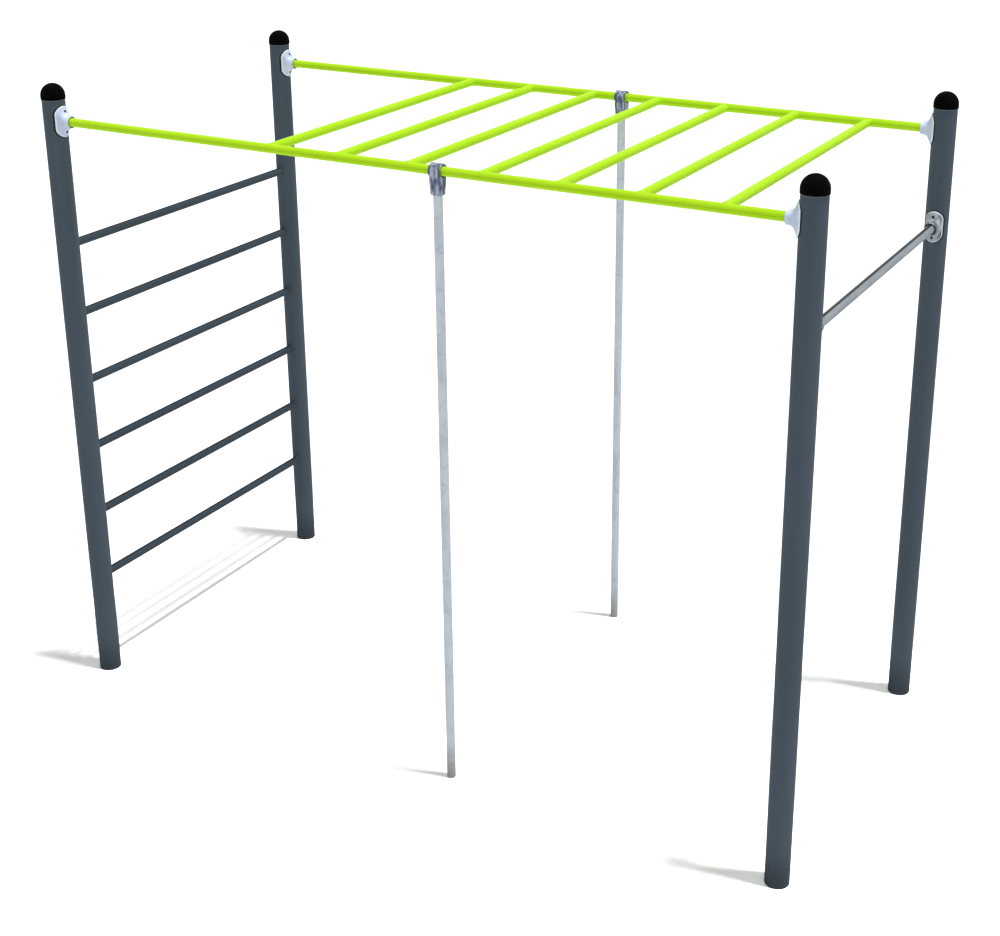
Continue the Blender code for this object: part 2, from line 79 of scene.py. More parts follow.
POSTS = {corner: middle("post_" + corner) for corner in CORNERS}
POST_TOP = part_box("post_front_left")[1].z
CAP_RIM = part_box("cap_front_left")[0].z
LADDER_Z = middle("rail_front").z
LADDER_Y = middle("rail_back").y
RUNGS = [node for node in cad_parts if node.startswith("rung_")]
WALL_BARS = [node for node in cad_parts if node.startswith("wall_bar_")]
print(f"{len(RUNGS)} rungs and {len(WALL_BARS)} wall bars, ladder {LADDER_Z:.4f} m up")

# %% [markdown]
# ## The stage and the camera
# The picture has a white ground that keeps short shadows to the left of each foot. A lamp far
# off, nearly overhead, gives their dark narrow wedges, and a white sky fills the rest. The ground
# is paler for the camera than for the light that it gives back, as on an overexposed sheet of
# paper. So only the deep part of a shadow shows, and the object isn't overlit. It is palest where
# the shadows fall, above all at a post's foot, where the post hides a part of the sky. Elsewhere
# it is only a little paler than white, because a background that is far over white eats into the
# edges of thin dark bars.

# %% Floor, sky, lamp and camera
scene = bpy.context.scene
scene.view_settings.view_transform = "Standard"


def put(tree, kind, inputs=None, **settings):
    """Adds a node. An input is set to a value, or linked when it is given a socket."""
    node = tree.nodes.new(kind)
    for name, value in settings.items():
        setattr(node, name, value)
    for key, value in (inputs or {}).items():
        if isinstance(value, bpy.types.NodeSocket):
            tree.links.new(value, node.inputs[key])
        else:
            node.inputs[key].default_value = value
    return node


def maths(tree, operation, *values):
    node = put(tree, "ShaderNodeMath", dict(enumerate(values)), operation=operation)
    return node.outputs[0]


def vector_maths(tree, operation, *values):
    node = put(tree, "ShaderNodeVectorMath", dict(enumerate(values)), operation=operation)
    return node.outputs["Value" if operation == "DOT_PRODUCT" else "Vector"]


def vector_of(tree, **parts):
    return put(tree, "ShaderNodeCombineXYZ", parts).outputs[0]


def parts_of(tree, vector):
    return put(tree, "ShaderNodeSeparateXYZ", {0: vector}).outputs


def place_object(name, mesh):
    thing = bpy.data.objects.new(name, mesh)
    scene.collection.objects.link(thing)
    return thing


def away_from(place, start, end):
    """How far a place on the ground is from a line between two others."""
    line = end - start
    share = min(max((place - start).dot(line) / line.length_squared, 0.0), 1.0)
    return (start + line * share - place).length


TOWARDS_LAMP = Vector((0.177, 0.041, 1))
FALL = -POST_TOP * TOWARDS_LAMP.xy
POST_FEET = [POSTS[corner].xy for corner in CORNERS]
FEET = POST_FEET + [middle("pole_" + side).xy for side in SIDES]
SHADOW_LINES = [(foot, foot + FALL) for foot in FEET]
SHADOW_LINES.append((POSTS["front_left"].xy + FALL / 2, POSTS["back_left"].xy + FALL / 2))
OVER_WHITE, OVER_WHITE_LOSS = 2.05, 0.63
SHADOW_MARGIN, SHADOW_FADE, POST_FADE = 0.25, 0.3, 0.15


def exposure(place):
    """How far over white the ground is printed, most of all where a shadow falls."""
    nearest = min(away_from(place, start, end) for start, end in SHADOW_LINES)
    far = min(max((nearest - SHADOW_MARGIN) / SHADOW_FADE, 0.0), 1.0)
    at_post = math.exp(-min((place - foot).length for foot in POST_FEET) / POST_FADE)
    return OVER_WHITE + at_post - OVER_WHITE_LOSS * far * far * (3 - 2 * far)


def make_floor():
    """A grid that is fine under the object and gets wide towards its far edges."""
    cells, fine_half, extra_half = 160, 4, 56
    bm = bmesh.new()
    bmesh.ops.create_grid(bm, x_segments=cells, y_segments=cells, size=1)
    for corner in bm.verts:
        for axis in (0, 1):
            corner.co[axis] *= fine_half + extra_half * corner.co[axis] ** 6
    mesh = bpy.data.meshes.new("floor")
    bm.to_mesh(mesh)
    bm.free()
    printed = mesh.attributes.new("printed", "FLOAT", "POINT")
    printed.data.foreach_set("value", [exposure(corner.co.xy) for corner in mesh.vertices])
    ground = bpy.data.materials.new("white_ground")
    ground.use_nodes = True
    tree = ground.node_tree
    shader = tree.nodes["Principled BSDF"]
    shader.inputs["Roughness"].default_value = 1.0
    shader.inputs["Specular IOR Level"].default_value = 0.0
    seen = put(tree, "ShaderNodeLightPath").outputs["Is Camera Ray"]
    shown = put(tree, "ShaderNodeAttribute", attribute_name="printed").outputs["Fac"]
    given_back = 0.9
    paper = put(tree, "ShaderNodeMapRange", {"Value": seen, "To Min": given_back, "To Max": shown})
    tree.links.new(paper.outputs["Result"], shader.inputs["Base Color"])
    mesh.materials.append(ground)
    floor = place_object("floor", mesh)


def make_sky():
    """White where it is seen or mirrored, and a soft fill of a quarter of that on surfaces."""
    world = bpy.data.worlds.new("white_sky")
    world.use_nodes = True
    scene.world = world
    tree = world.node_tree
    sky = tree.nodes["Background"]
    path = put(tree, "ShaderNodeLightPath").outputs
    shown = maths(tree, "MAXIMUM", path["Is Camera Ray"], path["Is Glossy Ray"])
    fill = 0.258
    sky.inputs["Color"].default_value = (1, 1, 1, 1)
    strength = put(tree, "ShaderNodeMapRange", {"Value": shown, "To Min": fill, "To Max": 1.0})
    tree.links.new(strength.outputs["Result"], sky.inputs["Strength"])


def make_lamp():
    lamp = bpy.data.lights.new("high_lamp", "SUN")
    lamp.energy = 2.42
    lamp.angle = math.radians(3.95)
    thing = place_object("high_lamp", lamp)
    thing.rotation_euler = TOWARDS_LAMP.to_track_quat("Z", "Y").to_euler()


def make_camera():
    view = bpy.data.cameras.new("camera")
    view.lens = 59.573
    view.sensor_width = 36
    view.shift_x = -0.035
    view.shift_y = -0.125
    thing = place_object("camera", view)
    place, target = Vector((3.1032, -5.3318, 3.7224)), Vector((-0.2832, 0.8464, 1.2))
    aim = (target - place).to_track_quat("-Z", "Y").to_matrix().to_4x4()
    roll = Matrix.Rotation(math.radians(-0.180), 4, "Z")
    thing.matrix_world = Matrix.Translation(place) @ aim @ roll
    scene.camera = thing


make_floor()
make_sky()
make_lamp()
make_camera()
print("stage ready, camera at", tuple(round(value, 2) for value in scene.camera.location))

# %% [markdown]
# ## Effects that several finishes share
# Powder coat is paint that was baked on as dust. It has a faint orange-peel skin and a tone that
# drifts a little. Zinc from a hot bath dries in soft patches that run down the tube. A casting
# keeps the grain of its sand mould. Each effect is one node group, which gives out a colour, a
# gloss and a height, and each finish puts its own values in.

# %% Node groups for coat, zinc, castings, the darker foot, and marks of wear and painted light
SKIN = (("Colour", "Color"), ("Roughness", "Float"), ("Height", "Float"))
MASK = (("Mask", "Float"),)


def open_tree(tree, inputs, outputs):
    """Gives a tree its sockets, and returns it with what comes in and what goes out."""
    for way, sockets in (("INPUT", inputs), ("OUTPUT", outputs)):
        for label, kind in sockets:
            tree.interface.new_socket(label, in_out=way, socket_type="NodeSocket" + kind)
    return tree, put(tree, "NodeGroupInput").outputs, put(tree, "NodeGroupOutput").inputs


def new_group(name, colours, values, outputs):
    """A shader group. It takes the place that its noise is read at, then colours and values."""
    tree = bpy.data.node_groups.new(name, "ShaderNodeTree")
    inputs = [("Place", "Vector")] + [(label, "Color") for label in colours]
    opened = open_tree(tree, inputs + [(label, "Float") for label in values], outputs)
    for label, value in values.items():
        tree.interface.items_tree[label].default_value = value
    return opened


def noise(tree, place, size, detail=2.0, stretch=None):
    """Soft noise whose features have the given size in metres, stretched if asked."""
    if stretch is not None:
        place = vector_maths(tree, "MULTIPLY", place, stretch)
    scale = maths(tree, "DIVIDE", 1.0, size)
    node = put(tree, "ShaderNodeTexNoise", {"Vector": place, "Scale": scale, "Detail": detail})
    return node.outputs["Fac"]


def cells(tree, place, per_metre, **settings):
    """Cells like the crystals in a zinc coat."""
    return put(tree, "ShaderNodeTexVoronoi", {"Vector": place, "Scale": per_metre}, **settings).outputs


def runs(tree, given):
    """The stretch for patches that run along a tube. The less it is, the longer they are."""
    return vector_of(tree, X=1.0, Y=1.0, Z=given["Run"])


def give(tree, out, **values):
    for label, value in values.items():
        tree.links.new(value, out[label])


def between(tree, value, low, high, to_low=0.0, to_high=1.0):
    node = put(tree, "ShaderNodeMapRange", {
        "Value": value, "From Min": low, "From Max": high, "To Min": to_low, "To Max": to_high,
    }, interpolation_type="SMOOTHSTEP")
    return node.outputs["Result"]


def blend(tree, mask, first, second):
    """The first colour where the mask is nothing, and the second where it is one."""
    return put(tree, "ShaderNodeMix", {0: mask, 6: first, 7: second}, data_type="RGBA").outputs[2]


def make_coat_group():
    tree, given, out = new_group("coat_skin", ("Colour", "Drift Colour"), {
        "Drift Size": 0.25, "Peel Size": 0.0022, "Gloss": 0.45,
    }, SKIN)
    drift = noise(tree, given["Place"], given["Drift Size"], 3.0, stretch=(1, 1, 0.35))
    peel = noise(tree, given["Place"], given["Peel Size"], 1.0)
    worn = between(tree, drift, 0.35, 0.65)
    uneven = maths(tree, "MULTIPLY_ADD", peel, 0.08, maths(tree, "MULTIPLY", worn, 0.05))
    drifted = blend(tree, worn, given["Colour"], given["Drift Colour"])
    give(tree, out, Colour=drifted, Roughness=maths(tree, "ADD", given["Gloss"], uneven), Height=peel)
    return tree


def make_zinc_group():
    tree, given, out = new_group("zinc_skin", ("Colour", "Patch Colour"), {
        "Patch Size": 0.03, "Run": 0.3, "Seam Spacing": 0.1, "Seam Depth": 0.0, "Gloss": 0.4,
    }, SKIN)
    clouds = noise(tree, given["Place"], given["Patch Size"], 4.0, stretch=runs(tree, given))
    crystals = cells(tree, given["Place"], maths(tree, "DIVIDE", 3.0, given["Patch Size"]))
    spangle = put(tree, "ShaderNodeSeparateColor", {0: crystals["Color"]}).outputs[0]
    patch = maths(tree, "MULTIPLY_ADD", spangle, 0.22, between(tree, clouds, 0.36, 0.66, 0.0, 0.78))
    per_metre = maths(tree, "DIVIDE", 1.0, given["Seam Spacing"])
    seams = cells(tree, given["Place"], per_metre, feature="DISTANCE_TO_EDGE")
    seam = between(tree, seams["Distance"], 0.035, 0.005)
    seam = maths(tree, "MULTIPLY", seam, maths(tree, "MULTIPLY", given["Seam Depth"], clouds))
    patch = maths(tree, "ADD", patch, seam)
    patched = blend(tree, patch, given["Colour"], given["Patch Colour"])
    rough = maths(tree, "MULTIPLY_ADD", patch, 0.16, given["Gloss"])
    grain = noise(tree, given["Place"], 0.0012, 2.0)
    height = maths(tree, "MULTIPLY_ADD", clouds, 0.5, grain)
    give(tree, out, Colour=patched, Roughness=rough, Height=height)
    return tree


def make_cast_group():
    tree, given, out = new_group("cast_skin", ("Light Colour", "Dark Colour", "Warm Colour"), {
        "Blotch Size": 0.02, "Warm Size": 0.05, "Run": 0.4, "Contrast": 0.5, "Gloss": 0.45,
    }, SKIN)
    blotch = noise(tree, given["Place"], given["Blotch Size"], 4.0, stretch=runs(tree, given))
    half = maths(tree, "MULTIPLY", given["Contrast"], -0.25)
    shade = between(tree, blotch, 0.3, 0.7)
    shade = maths(tree, "MULTIPLY_ADD", shade, given["Contrast"], maths(tree, "ADD", half, 0.25))
    grain = noise(tree, given["Place"], 0.0016, 3.0)
    hollow = between(tree, cells(tree, given["Place"], 420.0)["Distance"], 0.0, 0.45)
    warmth = between(tree, noise(tree, given["Place"], given["Warm Size"], 1.0), 0.45, 0.65)
    light = blend(tree, warmth, given["Light Colour"], given["Warm Colour"])
    blotched = blend(tree, shade, light, given["Dark Colour"])
    rough = maths(tree, "MULTIPLY_ADD", grain, 0.2, given["Gloss"])
    height = maths(tree, "MULTIPLY_ADD", hollow, 0.35, grain)
    give(tree, out, Colour=blotched, Roughness=rough, Height=height)
    return tree


def make_foot_group():
    """How much darker a tube is near the ground: one at its foot, nothing above the given height."""
    tree, given, out = new_group("foot_dust", (), {"Reach": 0.2}, MASK)
    height = parts_of(tree, given["Place"])["Z"]
    broken = maths(tree, "MULTIPLY_ADD", noise(tree, given["Place"], 0.02, 4.0), 0.06, height)
    share = maths(tree, "DIVIDE", broken, given["Reach"])
    give(tree, out, Mask=between(tree, share, 1.0, 0.15))
    return tree


def make_wear_and_painted_light_group():
    """Marks of wear and painted light. The amount comes from the piece and breaks up at its edges."""
    tree, given, out = new_group("wear", (), {"Amount": 0.0}, MASK)
    crumbs = maths(tree, "SUBTRACT", noise(tree, given["Place"], 0.004, 3.0), 0.5)
    edge = maths(tree, "MULTIPLY", maths(tree, "MULTIPLY", given["Amount"], 1.2), crumbs)
    give(tree, out, Mask=between(tree, maths(tree, "ADD", given["Amount"], edge), 0.0, 1.0))
    return tree


COAT, ZINC, CAST = make_coat_group(), make_zinc_group(), make_cast_group()
FOOT, WEAR_AND_PAINTED_LIGHT = make_foot_group(), make_wear_and_painted_light_group()
print("shader groups:", [group.name for group in (COAT, ZINC, CAST, FOOT, WEAR_AND_PAINTED_LIGHT)])

# %% [markdown]
# ## The finishes
# A finish is a Principled shader with one of those groups before it. A tube's streaks run along
# it, whichever way it lies. So each tube keeps the place that its points had before it was laid
# down, in an attribute called own_place, and the groups read that. Two more attributes hold
# marks. One holds wear from feet on the wall bars, and elsewhere painted highlights, a painted
# dark reflection and painted shade. The other holds painted shade in recesses and along joints.

# %% A finish from a group


def tint(tree, group, inputs, laid_colour, under):
    """Lays a colour over another one where a mask group says so."""
    mask = put(tree, "ShaderNodeGroup", inputs, node_tree=group).outputs["Mask"]
    return blend(tree, mask, under, (*laid_colour, 1))


def finish_of(name, group, values, metallic=0.0, specular=0.5, bump=0.0001, foot=None, marks=None,
              cad=False):
    """A material from a skin group, darker towards the foot, with a colour for each kind of mark."""
    material = bpy.data.materials.new(name)
    material.use_nodes = True
    tree = material.node_tree
    shader = tree.nodes["Principled BSDF"]
    shader.inputs["Metallic"].default_value = metallic
    shader.inputs["Specular IOR Level"].default_value = specular
    above_ground = put(tree, "ShaderNodeTexCoord").outputs["Object"]
    own_place = put(tree, "ShaderNodeAttribute", attribute_name="own_place").outputs["Vector"]
    place = above_ground if cad else own_place
    inputs = {label: (*value, 1) if "Colour" in label else value for label, value in values.items()}
    skin = put(tree, "ShaderNodeGroup", inputs | {"Place": place}, node_tree=group)
    skin_colour = skin.outputs["Colour"]
    if foot:
        skin_colour = tint(tree, FOOT, {"Place": above_ground, "Reach": foot[0]}, foot[1], skin_colour)
    for label, laid in (marks or {}).items():
        amount = put(tree, "ShaderNodeAttribute", attribute_name=label).outputs["Fac"]
        skin_colour = tint(tree, WEAR_AND_PAINTED_LIGHT, {"Place": place, "Amount": amount}, laid, skin_colour)
    tree.links.new(skin_colour, shader.inputs["Base Color"])
    tree.links.new(skin.outputs["Roughness"], shader.inputs["Roughness"])
    relief = put(tree, "ShaderNodeBump", {"Distance": bump, "Height": skin.outputs["Height"]})
    tree.links.new(relief.outputs["Normal"], shader.inputs["Normal"])
    return material


# Posts: the pale mark is a painted highlight under the cap, the dark one painted shadow at flanges.
ANTHRACITE = finish_of("anthracite_powder_coat", COAT, {
    "Colour": (0.0935, 0.127, 0.163), "Drift Colour": (0.0855, 0.117, 0.151),
    "Drift Size": 0.3, "Gloss": 0.56,
}, specular=0.1, bump=0.00006, foot=(0.22, (0.056, 0.074, 0.092)), marks={
    "worn": (0.24, 0.29, 0.32), "grime": (0.012, 0.018, 0.022),
})
BAR_ANTHRACITE = finish_of("anthracite_bar_coat", COAT, {
    "Colour": (0.063, 0.087, 0.112), "Drift Colour": (0.057, 0.079, 0.102),
    "Drift Size": 0.3, "Gloss": 0.56,
}, specular=0.1, bump=0.00006, marks={"worn": (0.004, 0.007, 0.010)})
LIME = finish_of("lime_powder_coat", COAT, {
    "Colour": (0.56, 0.97, 0.020), "Drift Colour": (0.53, 0.93, 0.015),
    "Drift Size": 0.12, "Gloss": 0.42,
}, specular=0.1, bump=0.00006)
BLACK = finish_of("black_plastic", COAT, {
    "Colour": (0.0018, 0.0018, 0.0018), "Drift Colour": (0.0026, 0.0026, 0.0026),
    "Drift Size": 0.05, "Peel Size": 0.0009, "Gloss": 0.6,
}, specular=0.015, bump=0.00008)
POLE_ZINC = finish_of("galvanised_steel", ZINC, {
    "Colour": (0.72, 0.80, 0.875), "Patch Colour": (0.63, 0.70, 0.77),
    "Patch Size": 0.045, "Run": 0.35, "Seam Spacing": 0.13, "Seam Depth": 1.6, "Gloss": 0.45,
}, metallic=0.35, specular=0.25, bump=0.00008, foot=(0.2, (0.43, 0.43, 0.42)))
# The pull-up bar's dark mark is a painted dark reflection on top and painted shade underneath.
BAR_ZINC = finish_of("silver_tube", ZINC, {
    "Colour": (0.36, 0.40, 0.44), "Patch Colour": (0.30, 0.335, 0.375),
    "Patch Size": 0.02, "Run": 0.12, "Gloss": 0.38,
}, metallic=0.4, specular=0.08, bump=0.00005, marks={"worn": (0.01, 0.012, 0.015)})
# The tee's dark mark is painted shade in the ring's mouths and on the socket's lower rim.
TEE_IRON = finish_of("galvanised_casting", CAST, {
    "Light Colour": (0.45, 0.52, 0.68), "Dark Colour": (0.075, 0.10, 0.17),
    "Warm Colour": (0.50, 0.53, 0.60), "Blotch Size": 0.010, "Warm Size": 0.03,
    "Run": 0.2, "Contrast": 1.3, "Gloss": 0.36,
}, metallic=0.6, bump=0.00025, marks={"grime": (0.008, 0.010, 0.014)})
# Flanges: the pale mark is a painted highlight on the rim, the dark one painted shade in hollows.
RAIL_FLANGE = finish_of("pale_cast_metal", CAST, {
    "Light Colour": (0.74, 0.83, 1.0), "Dark Colour": (0.56, 0.66, 0.87),
    "Warm Colour": (0.76, 0.84, 0.83), "Blotch Size": 0.03, "Warm Size": 0.045,
    "Run": 0.6, "Contrast": 0.8, "Gloss": 0.55,
}, metallic=0.45, specular=0.3, bump=0.00015, marks={
    "worn": (0.92, 0.98, 1.0), "grime": (0.02, 0.03, 0.02),
})
# The pull-up bar's flanges: the flange metal made darker and greyer as painted shade.
PULL_FLANGE_PAINTED_SHADE = finish_of("galvanised_flange", CAST, {
    "Light Colour": (0.47, 0.52, 0.57), "Dark Colour": (0.11, 0.13, 0.17),
    "Warm Colour": (0.52, 0.57, 0.58), "Blotch Size": 0.024, "Warm Size": 0.045,
    "Run": 0.5, "Contrast": 1.0, "Gloss": 0.52,
}, metallic=0.6, specular=0.3, bump=0.0002, marks={
    "worn": (0.80, 0.87, 0.92), "grime": (0.015, 0.018, 0.02),
})
SCREW_STEEL = finish_of("blackened_screw", ZINC, {
    "Colour": (0.006, 0.006, 0.007), "Patch Colour": (0.012, 0.012, 0.013),
    "Patch Size": 0.006, "Run": 1.0, "Gloss": 0.5,
}, metallic=0.1, specular=0.05, bump=0.00004)
PLATE_STEEL = finish_of("zinc_plated_steel", ZINC, {
    "Colour": (0.40, 0.42, 0.44), "Patch Colour": (0.32, 0.34, 0.35),
    "Patch Size": 0.012, "Run": 1.0, "Gloss": 0.35,
}, metallic=0.9, bump=0.00004, cad=True)
print("finishes ready:", len(bpy.data.materials))

# %% [markdown]
# ## Tubes and other turned pieces
# A post, rail, pole or cap is a profile carried round an axis. The Screw modifier can do that,
# but here the rings are skinned by hand, because the flanges further down need the same skin
# with rings that aren't round. A profile that ends at itself makes a tube with a real wall.

# %% Helpers for turned pieces


def skin_rings(name, rings, closed):
    """Skins rings of equal length. An open skin is closed by a fan at each end."""
    bm = bmesh.new()
    loops = [[bm.verts.new(point) for point in ring] for ring in rings]
    count = len(rings[0])
    pairs = list(zip(loops, loops[1:]))
    if closed:
        pairs.append((loops[-1], loops[0]))
    for lower, upper in pairs:
        for index in range(count):
            after = (index + 1) % count
            bm.faces.new((lower[index], lower[after], upper[after], upper[index]))
    if not closed:
        for loop in (loops[0], loops[-1]):
            centre = bm.verts.new(sum((corner.co for corner in loop), Vector()) / count)
            for index in range(count):
                bm.faces.new((loop[index], loop[(index + 1) % count], centre))
    bmesh.ops.recalc_face_normals(bm, faces=bm.faces)
    mesh = bpy.data.meshes.new(name)
    bm.to_mesh(mesh)
    bm.free()
    return mesh


def turn(name, profile, sides, closed=False):
    """A profile of (radius, height) points carried round Z."""
    rings = []
    for radius, height in profile:
        turns = [math.tau * index / sides for index in range(sides)]
        rings.append([(radius * math.cos(a), radius * math.sin(a), height) for a in turns])
    return skin_rings(name, rings, closed)


def tube_profile(radius, wall, length, rings=()):
    """Outside, inside and two ends with their burrs taken off. Rings are extra ones outside."""
    bore, edge = radius - wall, 0.0006
    outside = [(radius, height) for height in (edge, *rings, length - edge)]
    return outside + [
        (radius - edge, length), (bore + edge, length),
        (bore, length - edge), (bore, edge), (bore + edge, 0), (radius - edge, 0),
    ]


def keep(mesh, label, vectors):
    kept = mesh.attributes.new(label, "FLOAT_VECTOR", "POINT")
    kept.data.foreach_set("vector", [part for vector in vectors for part in vector])


def keep_place(mesh, shift=Vector()):
    keep(mesh, "own_place", [point.co + shift for point in mesh.vertices])


def mark(mesh, label, amount_at):
    """Keeps how strong a mark of wear and painted light is at each point, from a rule that takes its place.
    """
    kept = mesh.attributes.new(label, "FLOAT", "POINT")
    kept.data.foreach_set("value", [min(max(amount_at(point.co), 0.0), 1.0) for point in mesh.vertices])


def smooth(mesh, sharp_degrees=38):
    mesh.shade_smooth()
    mesh.set_sharp_from_angle(angle=math.radians(sharp_degrees))


def lay(mesh, start, direction):
    """Moves the mesh so that its own Z axis runs along a direction from a start point."""
    turned = direction.to_track_quat("Z", "Y").to_matrix().to_4x4()
    mesh.transform(Matrix.Translation(start) @ turned)


def dress(name, mesh, finish, slot, nodes):
    """Makes the piece from its finished mesh and lets it stand for its CAD nodes."""
    if not mesh.materials:
        mesh.materials.append(finish)
    piece = place_object(name, mesh)
    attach(piece, "root")
    if nodes:
        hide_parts(*nodes)
    print(f"{name}: {len(mesh.polygons)} faces, for {len(nodes)} nodes")


# %% [markdown]
# ## Posts
# Each post is a straight round tube, painted all over, that stands flat on the ground. It is the
# same turned tube four times. Its colour drifts from another part of the noise on each post, or
# the four would look printed. A thin pale line just under the cap's rim is a painted highlight.
# A thin dark line round each flange is painted shadow, so the flanges' places are worked out first.

# %% Make the four posts
POST_SIDES = 96
PLATE_HALF_WIDTH, PLATE_HALF_HEIGHT = 0.033, 0.060
GRIP_Z = middle("pull_up_bar").z
HIGHLIGHT_LINE_HEIGHTS = (CAP_RIM - 0.0032, CAP_RIM - 0.0016, CAP_RIM)
HIGHLIGHT_LINE_SHARE, HIGHLIGHT_LINE_HALF_HEIGHT = 0.9, 0.0002
FLANGE_SHADOW_ROW, FLANGE_SHADOW_ROWS = 0.002, range(-34, 35)
FLANGE_SHADOW_REACH, FLANGE_SHADOW_FADE = 0.0055, 0.003


def inside_plate(side, height):
    """How far inside a flange's outline a point is, and less than nothing outside it."""
    past_core = max(abs(height) - (PLATE_HALF_HEIGHT - PLATE_HALF_WIDTH), 0.0)
    return PLATE_HALF_WIDTH - math.hypot(side, past_core)


def flange_at(post, height, axis):
    """The middle of a flange on a post's axis, and the way it faces, to the station's inside."""
    return at_height(post, height), -math.copysign(1, post.dot(axis)) * axis


def painted_flange_shadow(place, plates):
    """A thin dark line of painted shadow on the post along the edge of each flange."""
    shares = [0.0]
    for centre, outward in plates:
        if place.xy.dot(outward.xy) > 0:
            gap = -inside_plate(place.xy.cross(outward.xy), place.z - centre.z)
            shares.append((FLANGE_SHADOW_REACH - gap) / FLANGE_SHADOW_FADE)
    return max(shares)


def painted_highlight_under_cap(place):
    """A painted highlight on the ring of points under the cap's rim, and on no other."""
    return HIGHLIGHT_LINE_SHARE if abs(place.z - HIGHLIGHT_LINE_HEIGHTS[1]) < HIGHLIGHT_LINE_HALF_HEIGHT else 0.0


FLANGES = {"rail_" + corner: flange_at(POSTS[corner], LADDER_Z, ALONG) for corner in CORNERS}
for side in SIDES:
    FLANGES["pull_up_" + side] = flange_at(POSTS[side + "_right"], GRIP_Z, ACROSS)

for number, corner in enumerate(CORNERS):
    plates = [flange for flange in FLANGES.values() if flange[0].xy == POSTS[corner].xy]
    rows = [centre.z + FLANGE_SHADOW_ROW * step for centre, _ in plates for step in FLANGE_SHADOW_ROWS]
    profile = tube_profile(POST_RADIUS, POST_WALL, POST_TOP, sorted(rows) + list(HIGHLIGHT_LINE_HEIGHTS))
    post = turn("upright_" + corner, profile, POST_SIDES, closed=True)
    keep_place(post, Vector((number, 0, 0)))
    mark(post, "worn", painted_highlight_under_cap)
    smooth(post)
    foot = at_height(POSTS[corner], 0)
    lay(post, foot, UP)
    mark(post, "grime", lambda place: painted_flange_shadow(place - foot, plates))
    dress(post.name, post, ANTHRACITE, "anthracite_powder_coat", ["post_" + corner])

# %% [markdown]
# ## Caps
# A black dome slips over each post on a short skirt. The dome is a half circle in profile. The
# mould leaves a fine seam where it meets the skirt, and the skirt's lower edge is rounded.

# %% Make the four caps
CAP_RADIUS, CAP_WALL = 0.04675, 0.005
CAP_LEDGE = POST_TOP + GAP


def quarter_turn(first, steps):
    return [math.pi / 2 * step / steps for step in range(first, steps + 1)]


def quarter(radius, height, steps, down):
    """A quarter circle from the top down to a ledge, or from the ledge up."""
    points = [(radius * math.sin(a), height + radius * math.cos(a)) for a in quarter_turn(1, steps)]
    return points if down else points[::-1]


def cap_profile():
    bore, seam, edge = POST_RADIUS + GAP, 0.0003, 0.0007
    return (
        quarter(CAP_RADIUS, CAP_LEDGE, 24, down=True)
        + [(CAP_RADIUS + seam, CAP_LEDGE - seam), (CAP_RADIUS, CAP_LEDGE - 3 * seam)]
        + [(CAP_RADIUS, CAP_RIM + edge), (CAP_RADIUS - edge, CAP_RIM), (bore + edge / 2, CAP_RIM)]
        + [(bore, CAP_RIM + edge / 2), (bore, CAP_LEDGE)]
        + quarter(CAP_RADIUS - CAP_WALL, CAP_LEDGE, 12, down=False)
    )


for number, corner in enumerate(CORNERS):
    cap = turn("dome_cap_" + corner, cap_profile(), POST_SIDES)
    keep_place(cap, Vector((number, 0, 0)))
    smooth(cap)
    lay(cap, at_height(POSTS[corner], 0), UP)
    dress(cap.name, cap, BLACK, "black_plastic", ["cap_" + corner])

# %% [markdown]
# ## Rails, pull-up bar and poles
# These are straight tubes too. Each lies along the line that its CAD node has, from the low end
# of the node's box to the high end. The pull-up bar has a painted dark reflection along its top
# and painted shade on its underside.

# %% Make the long tubes
TUBE_SIDES = 64
LONG_TUBES = (
    ("ladder_rail_", "rail_", SIDES, ALONG, LIME, "lime_powder_coat"),
    ("grip_bar", "pull_up_bar", ("",), ACROSS, BAR_ZINC, "silver_tube"),
    ("prop_", "pole_", SIDES, UP, POLE_ZINC, "galvanised_steel"),
)


def painted_light_on_grip_bar(place):
    """A painted dark reflection along the top of the pull-up bar, and painted shade on its underside."""
    up = place.z / BAR_RADIUS
    along_top = (up - 0.9) / 0.09
    underside = 0.3 * (0.2 - up)
    return max(along_top, underside)


for prefix, node_prefix, ends, direction, finish, slot in LONG_TUBES:
    for number, end in enumerate(ends):
        node = node_prefix + end
        low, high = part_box(node)
        length = (high - low).dot(direction)
        start = middle(node) - direction * length / 2
        tube = turn(prefix + end, tube_profile(BAR_RADIUS, BAR_WALL, length), TUBE_SIDES, closed=True)
        keep_place(tube, Vector((3 * number, 0, 0)))
        smooth(tube)
        lay(tube, start, direction)
        if finish == BAR_ZINC:
            mark(tube, "worn", lambda place: painted_light_on_grip_bar(place - start))
        dress(tube.name, tube, finish, slot, [node])

# %% [markdown]
# ## Rungs and wall bars
# Both are rows of equal bars whose ends are coped, which means hollowed to sit against a round
# tube. A row follows a rule, so Geometry Nodes make it: one bar, bent into shape at its ends by
# the circle that it meets, then set out along a line. The same tree serves both rows.

# %% The tree for rows of coped bars


def new_tree(name, sockets):
    """A Geometry Nodes tree. It takes a shape, then its own inputs, and gives a shape."""
    tree, shape = bpy.data.node_groups.new(name, "GeometryNodeTree"), ("Geometry", "Geometry")
    return open_tree(tree, (shape, *sockets), (shape,))


